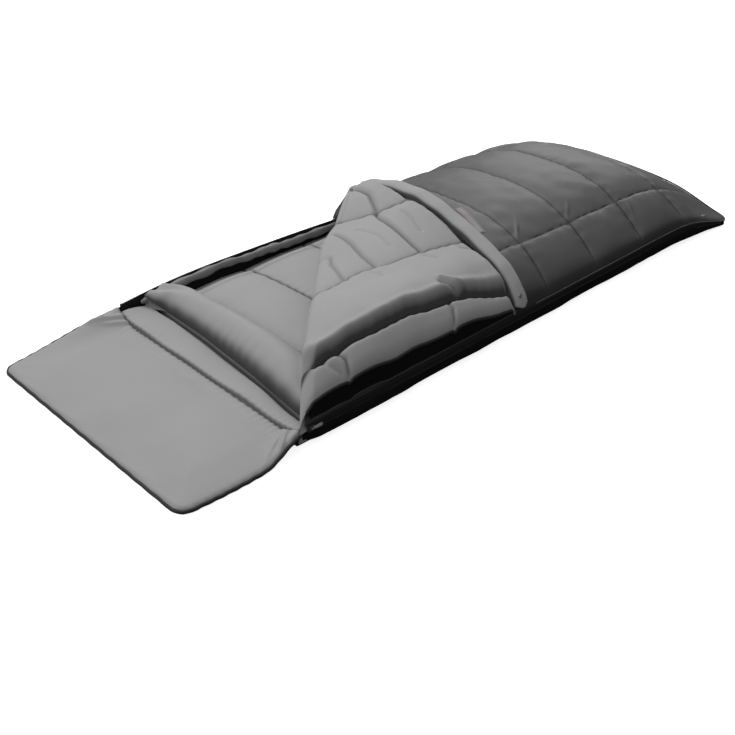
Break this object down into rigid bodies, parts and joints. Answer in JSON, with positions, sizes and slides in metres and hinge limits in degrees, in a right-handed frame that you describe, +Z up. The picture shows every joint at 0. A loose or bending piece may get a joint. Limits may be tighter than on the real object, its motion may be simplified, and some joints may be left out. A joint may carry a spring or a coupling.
{
  "type": "rectangular sleeping bag",
  "caption": "Rectangular hooded sleeping bag lying flat, quilted top puffed up, one head corner of the top folded open over a diagonal, zips on both long sides.",
  "frame": {"origin": "middle of the bag's footprint (hood included), on the ground", "axes": "+X towards the foot end, +Y towards the long side that is unzipped, +Z up"},
  "size_m": [2.2698, 0.864, 0.3022],
  "materials": {
    "outer_fabric": "dark grey woven polyester with a slight sheen",
    "lining_fabric": "light grey brushed soft lining, matte",
    "wadding": "loose polyester wadding",
    "binding_fabric": "dark woven binding tape",
    "piping_fabric": "mid grey corded piping",
    "zip_plastic": "black coil zip on a woven tape",
    "zip_metal": "light silver finish",
    "stud_metal": "polished",
    "patch_fabric": "blank woven patch"
  },
  "bodies": {
    "bag": {"base_outer_shell": "outer_fabric", "base_fill": "wadding", "base_lining": "lining_fabric", "draft_collar": "lining_fabric", "far_draft_tube": "lining_fabric", "near_draft_tube": "lining_fabric", "top_outer_shell": "outer_fabric", "top_fill": "wadding", "top_lining": "lining_fabric", "foot_seam_binding": "binding_fabric", "top_piping": "piping_fabric", "woven_patch": "patch_fabric", "far_zip_base_half": "zip_plastic", "far_zip_top_half": "zip_plastic", "near_zip_base_half": "zip_plastic", "near_zip_top_half": "zip_plastic", "far_zip_foot_stop": "zip_metal", "far_zip_head_stop": "zip_metal", "near_zip_foot_stop": "zip_metal", "near_zip_head_stop": "zip_metal", "press_stud_socket": "stud_metal"},
    "flap": {"flap_outer_shell": "outer_fabric", "flap_fill": "wadding", "flap_lining": "lining_fabric", "flap_edge_strip": "lining_fabric", "flap_zip_half": "zip_plastic", "flap_hem": "binding_fabric"},
    "flap_corner": {"flap_corner_outer_shell": "outer_fabric", "flap_corner_fill": "wadding", "flap_corner_lining": "lining_fabric", "flap_corner_edge_strip": "lining_fabric", "flap_corner_zip_half": "zip_plastic", "flap_corner_hem": "binding_fabric", "press_stud_cap": "stud_metal"},
    "hood": {"hood_outer_shell": "outer_fabric", "hood_fill": "wadding", "hood_lining": "lining_fabric", "hood_piping": "binding_fabric"},
    "far_slider": {"far_zip_slider": "zip_metal"},
    "far_pull": {"far_zip_pull": "zip_metal"},
    "near_slider": {"near_zip_slider": "zip_metal"},
    "near_pull": {"near_zip_pull": "zip_metal"}
  },
  "joints": [
    {"name": "flap_fold", "type": "hinge", "parent": "bag", "child": "flap", "pos_m": [-0.765, -0.425, 0.2], "axis": [-0.7071, -0.7071, 0], "range_deg": [0, 180]},
    {"name": "flap_bend", "type": "hinge", "parent": "flap", "child": "flap_corner", "pos_m": [-0.10209, -0.23938, 0.25], "axis": [-0.7071, -0.7071, 0], "range_deg": [0, 25]},
    {"name": "hood_fold", "type": "hinge", "parent": "bag", "child": "hood", "pos_m": [-0.7655, 0, 0.034], "axis": [0, 1, 0], "range_deg": [0, 60]},
    {"name": "far_zip_slide", "type": "slide", "parent": "bag", "child": "far_slider", "axis": [1, 0, 0], "range_m": [-0.838, 0.964]},
    {"name": "far_pull_swing", "type": "hinge", "parent": "far_slider", "child": "far_pull", "pos_m": [0.103, 0.43, 0.06], "axis": [0, 0, 1], "range_deg": [0, 165]},
    {"name": "near_zip_slide", "type": "slide", "parent": "bag", "child": "near_slider", "axis": [1, 0, 0], "range_m": [0, 1.802]},
    {"name": "near_pull_swing", "type": "hinge", "parent": "near_slider", "child": "near_pull", "pos_m": [-0.735, -0.43, 0.06], "axis": [0, 0, -1], "range_deg": [0, 165]}
  ],
  "couplings": [
    {"joint": "flap_bend", "follows": "flap_fold", "ratio": 0.1388}
  ]
}
